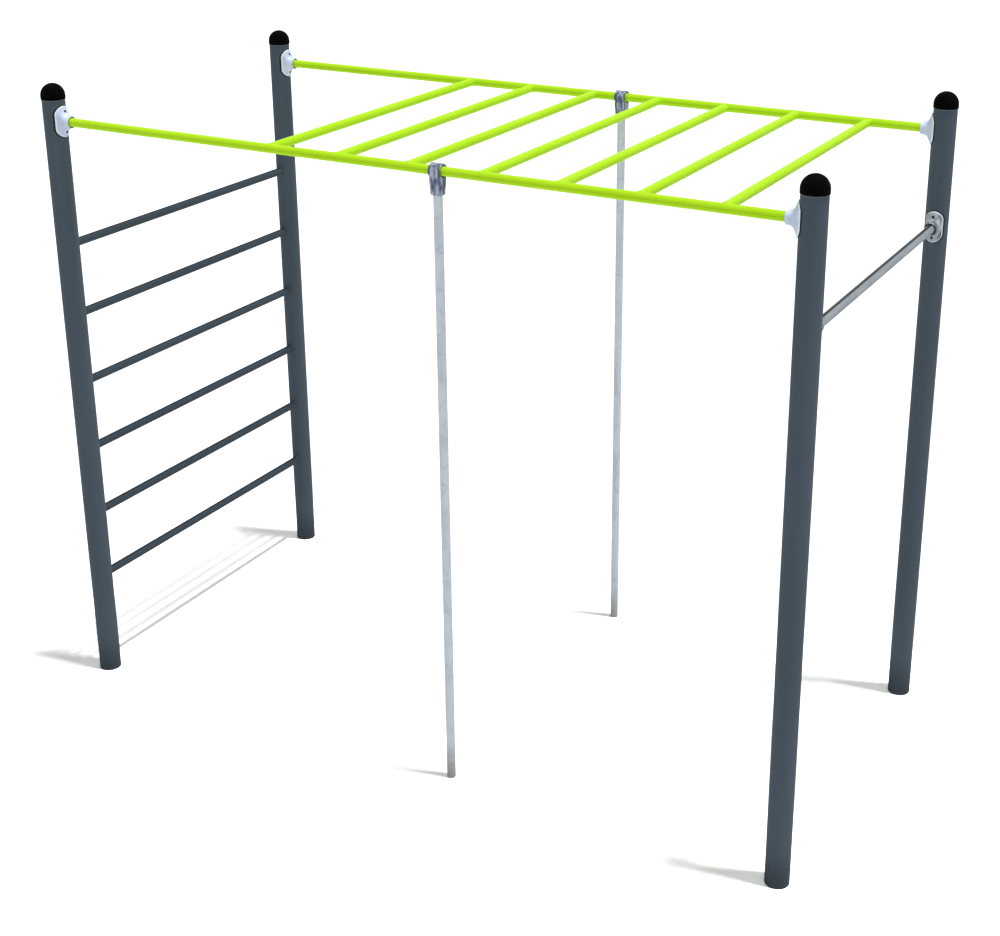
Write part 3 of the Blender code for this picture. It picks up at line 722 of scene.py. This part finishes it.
def grow(name, tree, values, base=None):
    """Runs a tree on a base mesh and gives the result as a plain mesh."""
    maker = place_object(name + "_maker", base or bpy.data.meshes.new(name + "_base"))
    modifier = maker.modifiers.new(tree.name, "NODES")
    modifier.node_group = tree
    for item in tree.interface.items_tree:
        if item.in_out == "INPUT" and item.name in values:
            modifier[item.identifier] = values[item.name]
    graph = bpy.context.evaluated_depsgraph_get()
    mesh = bpy.data.meshes.new_from_object(maker.evaluated_get(graph))
    mesh.name = name
    bpy.data.objects.remove(maker)
    while None in list(mesh.materials):
        mesh.materials.pop(index=list(mesh.materials).index(None))
    smooth(mesh)
    return mesh


ROW_SOCKETS = (
    ("Count", "Int"), ("First Place", "Vector"), ("Step", "Vector"), ("Half Width", "Float"),
    ("Bar Radius", "Float"), ("Saddle Radius", "Float"), ("Saddle Across", "Vector"),
)


def coped_place(tree, given, x, y, side):
    """A point of the bar, laid along Y, with its end drawn back by the saddle's circle."""
    flat = vector_of(tree, X=x, Z=maths(tree, "MULTIPLY", y, -1.0))
    off_axis = vector_maths(tree, "DOT_PRODUCT", flat, given["Saddle Across"])
    squared = [maths(tree, "MULTIPLY", value, value) for value in (given["Saddle Radius"], off_axis)]
    left = maths(tree, "SUBTRACT", *squared)
    depth = maths(tree, "SQRT", maths(tree, "MAXIMUM", left, 0.0))
    reach = maths(tree, "MULTIPLY", maths(tree, "SUBTRACT", given["Half Width"], depth), side)
    return vector_maths(tree, "ADD", flat, vector_of(tree, Y=reach)), reach


def store(tree, geometry, name, value, domain="POINT"):
    return put(tree, "GeometryNodeStoreNamedAttribute", {
        "Geometry": geometry, "Name": name, "Value": value,
    }, data_type="FLOAT_VECTOR", domain=domain).outputs[0]


def stored(tree, name):
    return put(tree, "GeometryNodeInputNamedAttribute", {"Name": name}, data_type="FLOAT_VECTOR").outputs[0]


def set_out(tree, given, shape):
    """Copies the shape along the row and makes the copies real."""
    line = put(tree, "GeometryNodeMeshLine", {
        "Count": given["Count"], "Start Location": given["First Place"], "Offset": given["Step"],
    }, mode="OFFSET")
    copies = put(tree, "GeometryNodeInstanceOnPoints", {"Points": line.outputs[0], "Instance": shape})
    shift = put(tree, "FunctionNodeRandomValue", {"Seed": 7}, data_type="FLOAT_VECTOR")
    marked = store(tree, copies.outputs[0], "row_shift", shift.outputs[0], "INSTANCE")
    real = put(tree, "GeometryNodeRealizeInstances", {"Geometry": marked}).outputs[0]
    shifted = vector_maths(tree, "ADD", stored(tree, "own_place"), stored(tree, "row_shift"))
    return store(tree, real, "own_place", shifted)


def end_tree(tree, geometry, finish, out):
    node = put(tree, "GeometryNodeSetMaterial", {"Geometry": geometry, "Material": finish})
    give(tree, out, Geometry=node.outputs[0])


def own_point(tree):
    return put(tree, "GeometryNodeInputPosition").outputs[0]


def make_bar_tree():
    tree, given, out = new_tree("coped_bars", ROW_SOCKETS + (("Finish", "Material"),))
    rod = put(tree, "GeometryNodeMeshCylinder", {
        "Vertices": TUBE_SIDES, "Radius": given["Bar Radius"], "Depth": 2.0,
    }, fill_type="TRIANGLE_FAN")
    at = parts_of(tree, own_point(tree))
    place, reach = coped_place(tree, given, at["X"], at["Y"], at["Z"])
    own = vector_of(tree, X=at["X"], Y=at["Y"], Z=reach)
    marked = store(tree, rod.outputs["Mesh"], "own_place", own)
    bent = put(tree, "GeometryNodeSetPosition", {"Geometry": marked, "Position": place}).outputs[0]
    end_tree(tree, set_out(tree, given, bent), given["Finish"], out)
    return tree


BAR_TREE = make_bar_tree()


def row_values(nodes, saddle_radius, saddle_across):
    places = [middle(node) for node in nodes]
    return {
        "Count": len(nodes), "First Place": places[0], "Step": places[1] - places[0],
        "Half Width": LADDER_Y, "Bar Radius": BAR_RADIUS, "Saddle Radius": saddle_radius,
        "Saddle Across": saddle_across,
    }


RUNG_ROW = row_values(RUNGS, BAR_RADIUS + GAP, UP)
WALL_ROW = row_values(WALL_BARS, POST_RADIUS + GAP, ALONG)
rungs = grow("ladder_rungs", BAR_TREE, RUNG_ROW | {"Finish": LIME})
dress(rungs.name, rungs, LIME, "lime_powder_coat", RUNGS)
wall_bars = grow("climbing_bars", BAR_TREE, WALL_ROW | {"Finish": BAR_ANTHRACITE})
STEP_UP = WALL_ROW["Step"].z
LOWEST_BAR = WALL_ROW["First Place"].z


def trodden(place):
    """Feet have darkened the upper side of each wall bar, most of all along its top."""
    over_axis = (place.z - LOWEST_BAR + STEP_UP / 2) % STEP_UP - STEP_UP / 2
    up = over_axis / BAR_RADIUS
    upper_side = min(0.22, 0.6 * up)
    along_top = max(0.0, (up - 0.84) * 3.6)
    return upper_side + along_top


mark(wall_bars, "worn", trodden)
dress(wall_bars.name, wall_bars, BAR_ANTHRACITE, "anthracite_powder_coat", WALL_BARS)

# %% [markdown]
# ## Weld beads
# The rungs are welded to the rails, and the wall bars to the posts, before they are painted. A
# hand-laid bead is a string of small overlapping ripples along the seam. The tree draws the seam
# with the same circle that coped the bar, and sweeps a small round along it that swells and
# shrinks.

# %% The tree for the beads
SEAM_POINTS, BEAD_SIDES = 144, 10
NARROWEST_BEAD, WIDEST_BEAD = 0.8, 1.08


def make_bead_tree():
    tree, given, out = new_tree("seam_beads", ROW_SOCKETS + (
        ("Bead Radius", "Float"), ("Ripples", "Int"), ("Finish", "Material"),
    ))
    ring = put(tree, "GeometryNodeCurvePrimitiveCircle", {
        "Resolution": SEAM_POINTS, "Radius": given["Bar Radius"],
    })
    at = parts_of(tree, own_point(tree))
    place, _ = coped_place(tree, given, at["X"], at["Y"], 1.0)
    seam = put(tree, "GeometryNodeSetPosition", {"Geometry": ring.outputs[0], "Position": place}).outputs[0]
    way = put(tree, "GeometryNodeSplineParameter").outputs["Factor"]
    phase = maths(tree, "MULTIPLY", maths(tree, "MULTIPLY", way, math.tau), given["Ripples"])
    swell = maths(tree, "ABSOLUTE", maths(tree, "SINE", phase))
    ripple = maths(tree, "MULTIPLY_ADD", swell, WIDEST_BEAD - NARROWEST_BEAD, NARROWEST_BEAD)
    bead = put(tree, "GeometryNodeCurvePrimitiveCircle", {
        "Resolution": BEAD_SIDES, "Radius": given["Bead Radius"],
    })
    swept = put(tree, "GeometryNodeCurveToMesh", {
        "Curve": seam, "Profile Curve": bead.outputs[0], "Scale": ripple,
    })
    turned = put(tree, "GeometryNodeTransform", {"Geometry": swept.outputs[0], "Rotation": (0, 0, math.pi)})
    both = put(tree, "GeometryNodeJoinGeometry")
    for end in (swept, turned):
        tree.links.new(end.outputs[0], both.inputs[0])
    marked = store(tree, both.outputs[0], "own_place", own_point(tree))
    end_tree(tree, set_out(tree, given, marked), given["Finish"], out)
    return tree


BEAD_TREE = make_bead_tree()
for name, row, sink, bead, ripples, finish, slot in (
    ("rung_welds", RUNG_ROW, 0.0002, 0.0017, 40, LIME, "lime_powder_coat"),
    ("wall_bar_welds", WALL_ROW, 0.0004, 0.0027, 34, ANTHRACITE, "anthracite_powder_coat"),
):
    beads = grow(name, BEAD_TREE, row | {
        "Bar Radius": BAR_RADIUS + sink, "Saddle Radius": row["Saddle Radius"] + sink,
        "Bead Radius": bead, "Ripples": ripples, "Finish": finish,
    })
    dress(name, beads, finish, slot, [])

# %% [markdown]
# ## Tees
# A cast tee ties each pole to its rail: a ring round the rail, and a tapered socket over the
# pole. Castings have soft inner corners, which a plain union of two solids lacks. So the union
# is remeshed into small even cells and smoothed, and the bores are cut after that, because they
# are machined and stay crisp.

# %% Make the two tees
TEE_MIDDLE = {side: Vector((middle("tee_" + side).x, middle("pole_" + side).y, LADDER_Z)) for side in SIDES}
TEE_RING_RADIUS, TEE_HALF_LENGTH, TEE_REACH = 0.0262, 0.0232, 0.0812
TEE_MOUTH_RADIUS, TEE_MOUTH_DEPTH, TEE_WEB = 0.0212, 0.005, 0.0033
TEE_LIP, TEE_LIP_INSET, TEE_LIP_WIDTH = 0.0008, 0.002, 0.007
TEE_SOCKET = [
    (0.0222, 0.0), (0.0268, -0.012), (0.0299, -0.025),
    (0.0258, -TEE_REACH + 0.009), (0.0266, -TEE_REACH + 0.005), (0.0258, -TEE_REACH),
]
SOCKET_CHAMFER, SOCKET_CHAMFER_DEPTH = 0.0012, 0.002
GRUB_DROP, GRUB_BORE, GRUB_BORE_LENGTH = 0.051, 0.0043, 0.04
TEE_CELL, TEE_SMOOTHING = 0.0009, 6
TEE_BLOTCHES = Vector((-0.59, 0.88, 0.38))
PAST = 0.01


def cutter_rod(start, end, radius, sides=TUBE_SIDES):
    rod = turn("cutter", [(radius, 0), (radius, (end - start).length)], sides)
    lay(rod, start, end - start)
    return rod


def cut(mesh, tools, operation="DIFFERENCE"):
    """The mesh after an exact Boolean with each tool in turn."""
    work = place_object("work", mesh)
    helpers = []
    for tool in tools:
        helper = place_object("helper", tool)
        helper.hide_render = True
        step = work.modifiers.new("cut", "BOOLEAN")
        step.solver, step.operation, step.object = "EXACT", operation, helper
        helpers.append(helper)
    return joined_points(applied(work, helpers))


def applied(work, helpers=()):
    graph = bpy.context.evaluated_depsgraph_get()
    mesh = bpy.data.meshes.new_from_object(work.evaluated_get(graph))
    for thing in (work, *helpers):
        bpy.data.objects.remove(thing)
    return mesh


def joined_points(mesh):
    """Joins the points that a Boolean left a hair's breadth apart, so no sliver stays."""
    nearer = 0.00002
    bm = bmesh.new()
    bm.from_mesh(mesh)
    bmesh.ops.triangulate(bm, faces=[face for face in bm.faces if len(face.verts) > 4])
    bmesh.ops.remove_doubles(bm, verts=bm.verts, dist=nearer)
    bmesh.ops.dissolve_degenerate(bm, edges=bm.edges, dist=nearer)
    bm.to_mesh(mesh)
    bm.free()
    return mesh


def soften(mesh, cell, rounds):
    work = place_object("work", mesh)
    remesh = work.modifiers.new("cells", "REMESH")
    remesh.mode, remesh.voxel_size = "VOXEL", cell
    rounding = work.modifiers.new("soft", "SMOOTH")
    rounding.factor, rounding.iterations = 0.5, rounds
    return applied(work)


def tee_body():
    half = TEE_HALF_LENGTH
    lipped = [
        (TEE_RING_RADIUS, half - TEE_LIP_WIDTH), (TEE_RING_RADIUS + TEE_LIP, half - TEE_LIP_INSET),
        (TEE_RING_RADIUS, half),
    ]
    ring = turn("ring", [(radius, -height) for radius, height in lipped[::-1]] + lipped, TUBE_SIDES)
    lay(ring, Vector(), ALONG)
    body = cut(ring, [turn("socket", TEE_SOCKET, TUBE_SIDES)], "UNION")
    body = soften(body, TEE_CELL, TEE_SMOOTHING)
    back, front = -ALONG * (half + PAST), ALONG * (half + PAST)
    mouth = ALONG * (half - TEE_MOUTH_DEPTH)
    socket_end = -UP * (TEE_REACH + PAST)
    grub = -UP * GRUB_DROP
    return cut(body, [
        cutter_rod(back, front, BAR_RADIUS + GAP),
        cutter_rod(mouth, front, TEE_MOUTH_RADIUS),
        cutter_rod(back, -mouth, TEE_MOUTH_RADIUS),
        cutter_rod(-UP * (BAR_RADIUS + TEE_WEB), socket_end, BAR_RADIUS + GAP),
        cutter_rod(-UP * (TEE_REACH - SOCKET_CHAMFER_DEPTH), socket_end, BAR_RADIUS + SOCKET_CHAMFER),
        cutter_rod(grub, grub - ALONG * GRUB_BORE_LENGTH, GRUB_BORE),
    ])


def painted_shade_in_tee(place):
    """Painted shade in the ring's two mouths, round the rail, and on the socket's lower rim."""
    from_axis = math.hypot(place.y, place.z)
    in_mouth = from_axis < TEE_MOUTH_RADIUS + 0.0001 and abs(place.x) < TEE_HALF_LENGTH - 0.0005
    return 1.0 if in_mouth else 0.7 * (1 - (place.z + TEE_REACH) / 0.003)


tee = tee_body()
mark(tee, "grime", painted_shade_in_tee)
for side in SIDES:
    copy = tee.copy()
    keep_place(copy, TEE_MIDDLE[side] + TEE_BLOTCHES)
    smooth(copy, 45)
    copy.transform(Matrix.Translation(TEE_MIDDLE[side]))
    dress("cast_tee_" + side, copy, TEE_IRON, "galvanised_casting", ["tee_" + side])

# %% [markdown]
# ## Flanges
# A saddle flange holds each rail and the pull-up bar: a plate with round ends, bent to the post,
# that flares into a collar. One skin makes it, of rings that change from the plate's outline to
# the collar's circle and go on inside, down the bore and back under the plate.

# %% Make the flanges
FLANGE_SIDES = 112
FLANGE_REACH, PLATE_THICK = 0.041, 0.005
PLATE_EDGE, EDGE_STEPS = 0.0018, 6
UNDER_EDGE, UNDER_MARGIN, UNDER_SHARE, UNDER_STEPS = 0.0012, 0.0004, 0.8, 4
FLARE_STEPS, FLARE_SPACING, FLARE_SPAN, FLARE_POWER = 26, 1.35, 0.23, 1.2
COLLAR_RADIUS, COLLAR_LIP, LIP_STEPS = 0.0245, 0.0015, 5
MOUTH_RADIUS, MOUTH_DEPTH, MOUTH_CHAMFER = 0.021, 0.008, 0.0003
SCREW_OFFSET, SEAT = 0.040, 0.0065
SCREW_BORE, HEAD_BORE = 0.0033, 0.0053
# The noise starts where a dark blotch falls below a pull-up flange's collar, as painted shadow.
FLANGE_BLOTCHES_AND_PAINTED_SHADOW = Vector((-0.94, -0.07, 0.89))


def outline(half_width, half_height, standoff, saddle):
    """A ring with round ends. Its saddle share says how far it follows the post's bend."""
    points = []
    for index in range(FLANGE_SIDES):
        a = math.tau * (index + 0.5) / FLANGE_SIDES
        side = half_width * math.cos(a)
        height = half_width * math.sin(a) + math.copysign(half_height - half_width, math.sin(a))
        bend = POST_RADIUS - math.sqrt(POST_RADIUS ** 2 - side ** 2)
        points.append((standoff - saddle * bend, side, height))
    return points


def flare_left(way):
    """What is left of the plate's extra size at a share of the way out to the mouth."""
    return math.exp(-(way / FLARE_SPAN) ** FLARE_POWER)


def flange_rings():
    bore, under = BAR_RADIUS + GAP, POST_RADIUS + GAP
    front, mouth = POST_RADIUS + PLATE_THICK, POST_RADIUS + FLANGE_REACH
    wide, high, edge, lip = PLATE_HALF_WIDTH, PLATE_HALF_HEIGHT, PLATE_EDGE, COLLAR_LIP
    rings = [
        outline(wide - UNDER_EDGE, high - UNDER_EDGE, under, 1),
        outline(wide, high, under + UNDER_EDGE, 1),
    ]
    for a in quarter_turn(0, EDGE_STEPS):
        inset = edge * (1 - math.cos(a))
        rings.append(outline(wide - inset, high - inset, front - edge + edge * math.sin(a), 1))
    for step in range(1, FLARE_STEPS + 1):
        way = (step / FLARE_STEPS) ** FLARE_SPACING
        left = flare_left(way)
        rings.append(outline(
            COLLAR_RADIUS + (wide - edge - COLLAR_RADIUS) * left,
            COLLAR_RADIUS + (high - edge - COLLAR_RADIUS) * left,
            front + (mouth - lip - front) * way, left,
        ))
    for a in quarter_turn(1, LIP_STEPS):
        collar = COLLAR_RADIUS - lip * (1 - math.cos(a))
        rings.append(outline(collar, collar, mouth - lip + lip * math.sin(a), 0))
    for radius, standoff in (
        (MOUTH_RADIUS + MOUTH_CHAMFER, mouth), (MOUTH_RADIUS, mouth - 2 * MOUTH_CHAMFER),
        (MOUTH_RADIUS, mouth - MOUTH_DEPTH), (bore, mouth - MOUTH_DEPTH),
    ):
        rings.append(outline(radius, radius, standoff, 0))
    for step in range(UNDER_STEPS + 1):
        share = UNDER_SHARE * step / UNDER_STEPS
        widest, highest = wide - UNDER_MARGIN, high - UNDER_MARGIN
        rings.append(outline(bore + (widest - bore) * share, bore + (highest - bore) * share, under, 1))
    return rings


def flange_mesh():
    body = skin_rings("saddle_flange", flange_rings(), closed=True)
    holes = []
    seat, past = ALONG * (POST_RADIUS + SEAT), ALONG * (POST_RADIUS + FLANGE_REACH + PAST)
    for level in (-UP * SCREW_OFFSET, UP * SCREW_OFFSET):
        holes.append(cutter_rod(level, level + past, SCREW_BORE, 32))
        holes.append(cutter_rod(level + seat, level + past, HEAD_BORE, 48))
    body = cut(body, holes)
    mark(body, "worn", painted_rim_highlight)
    mark(body, "grime", painted_shade_in_flange)
    return body


def painted_shade_in_flange(place):
    """Painted shade at the bottom of the two screw holes and of the recess round the bar."""
    from_axis = math.hypot(place.y, place.z)
    from_screw = math.hypot(place.y, abs(place.z) - SCREW_OFFSET)
    off_post = place.x - POST_RADIUS
    in_recess = from_axis < MOUTH_RADIUS + 0.0001 and off_post < FLANGE_REACH - 0.0004
    in_hole = from_screw < HEAD_BORE + 0.0002 and off_post < SEAT + 0.0003
    return 0.8 if in_recess else float(in_hole)


def painted_rim_highlight(place):
    """One on the edge of the plate, where a painted highlight lies, and nothing further in."""
    bend = POST_RADIUS - math.sqrt(POST_RADIUS ** 2 - min(abs(place.y), PLATE_HALF_WIDTH) ** 2)
    depth = place.x + bend - POST_RADIUS
    inset = inside_plate(place.y, place.z)
    fade = 0.0014
    return 1.0 - (inset - PLATE_EDGE) / fade if 0.001 < depth < PLATE_THICK + 0.0005 else 0.0


FLANGE_MESH = flange_mesh()
for number, (name, (place, outward)) in enumerate(FLANGES.items()):
    on_rail = name.startswith("rail")
    copy = FLANGE_MESH.copy()
    keep_place(copy, FLANGE_BLOTCHES_AND_PAINTED_SHADOW + number * ALONG)
    smooth(copy)
    turned = Matrix.Rotation(math.atan2(outward.y, outward.x), 4, "Z")
    copy.transform(Matrix.Translation(place) @ turned)
    finish, slot = (RAIL_FLANGE, "pale_cast_metal") if on_rail else (PULL_FLANGE_PAINTED_SHADE, "galvanised_flange")
    dress("saddle_" + name, copy, finish, slot, ["flange_" + name])

# %% [markdown]
# ## Screws
# Twelve black cap screws hold the flanges, sunk in their holes, and two zinc grub screws grip the
# poles. One screw is turned and its hexagon socket is cut. Geometry Nodes then set it on a point
# for each place, facing the way that the point says, with its socket turned at random.

# %% Make the screws


def make_fastener_tree():
    tree, given, out = new_tree("fasteners", (("Screw", "Object"), ("Finish", "Material")))
    facing = stored(tree, "facing")
    aimed = put(tree, "FunctionNodeAlignRotationToVector", {"Vector": facing}, axis="Z").outputs[0]
    spin = put(tree, "FunctionNodeRandomValue", {
        "Min": (0, 0, 0), "Max": (0, 0, math.tau), "Seed": 3,
    }, data_type="FLOAT_VECTOR")
    own = put(tree, "FunctionNodeEulerToRotation", {"Euler": spin.outputs[0]}).outputs[0]
    rolled = put(tree, "FunctionNodeRotateRotation", {
        "Rotation": aimed, "Rotate By": own,
    }, rotation_space="LOCAL")
    screw = put(tree, "GeometryNodeObjectInfo", {"Object": given["Screw"]}).outputs["Geometry"]
    copies = put(tree, "GeometryNodeInstanceOnPoints", {
        "Points": given["Geometry"], "Instance": screw, "Rotation": rolled.outputs[0],
    })
    real = put(tree, "GeometryNodeRealizeInstances", {"Geometry": copies.outputs[0]}).outputs[0]
    end_tree(tree, real, given["Finish"], out)
    return tree


def socket_screw(name, profile, across, depth, top):
    """A turned screw with a hexagon socket cut into its top."""
    corner_radius, over_top = across / 2 / math.cos(math.pi / 6), 0.002
    hexagon = cutter_rod(UP * (top - depth), UP * (top + over_top), corner_radius, 6)
    body = cut(turn(name, profile, 48), [hexagon])
    keep_place(body)
    return body


def set_screws(name, screw, places, finish, slot, nodes):
    """Sets the screw on each place, which is a point and the way out of it."""
    base = bpy.data.meshes.new(name + "_points")
    base.from_pydata([place for place, outward in places], [], [])
    keep(base, "facing", [outward for place, outward in places])
    shape = place_object(name + "_shape", screw)
    mesh = grow(name, FASTENER_TREE, {"Screw": shape, "Finish": finish}, base)
    bpy.data.objects.remove(shape)
    dress(name, mesh, finish, slot, nodes)


FASTENER_TREE = make_fastener_tree()
HEAD, SHANK, HEAD_HIGH, SHANK_LONG, BREAK = 0.00425, 0.003, 0.0045, 0.022, 0.0005
HEAD_SOCKET, HEAD_SOCKET_DEPTH = 0.0045, 0.003
GRUB_RADIUS, GRUB_LONG = 0.004, 0.010
GRUB_SOCKET, GRUB_SOCKET_DEPTH = 0.004, 0.004
cap_screw = socket_screw("cap_screw", [
    (HEAD - BREAK, HEAD_HIGH), (HEAD, HEAD_HIGH - BREAK), (HEAD, 0), (SHANK, 0),
    (SHANK, -SHANK_LONG + BREAK), (SHANK - BREAK, -SHANK_LONG),
], HEAD_SOCKET, HEAD_SOCKET_DEPTH, HEAD_HIGH)
screw_places, screw_nodes = [], []
for name, (place, outward) in FLANGES.items():
    for level, drop in (("lower", -SCREW_OFFSET), ("upper", SCREW_OFFSET)):
        screw_places.append((place + UP * drop + outward * (POST_RADIUS + SEAT + GAP), outward))
        screw_nodes.append(f"screw_{name}_{level}")
set_screws("flange_screws", cap_screw, screw_places, SCREW_STEEL, "blackened_steel", screw_nodes)

grub = socket_screw("grub", [
    (GRUB_RADIUS - BREAK, GRUB_LONG), (GRUB_RADIUS, GRUB_LONG - BREAK), (GRUB_RADIUS, BREAK),
    (GRUB_RADIUS - BREAK, 0),
], GRUB_SOCKET, GRUB_SOCKET_DEPTH, GRUB_LONG)
grub_places, grub_nodes = [], ["grub_screw_" + side for side in SIDES]
for side in SIDES:
    low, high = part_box("grub_screw_" + side)
    grub_places.append((Vector((high.x, (low.y + high.y) / 2, (low.z + high.z) / 2)), -ALONG))
set_screws("tee_grub_screws", grub, grub_places, PLATE_STEEL, "zinc_plated_steel", grub_nodes)

# %% [markdown]
# ## What stays as it is
# The backing plates sit inside the posts, where nobody looks. Their CAD shape is right, so they
# only get the grub screws' finish, on object coordinates because they have no place attribute.

# %% Finish the backing plates
for node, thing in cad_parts.items():
    if not node.startswith("backing_plate"):
        continue
    thing.data.materials.clear()
    thing.data.materials.append(PLATE_STEEL)
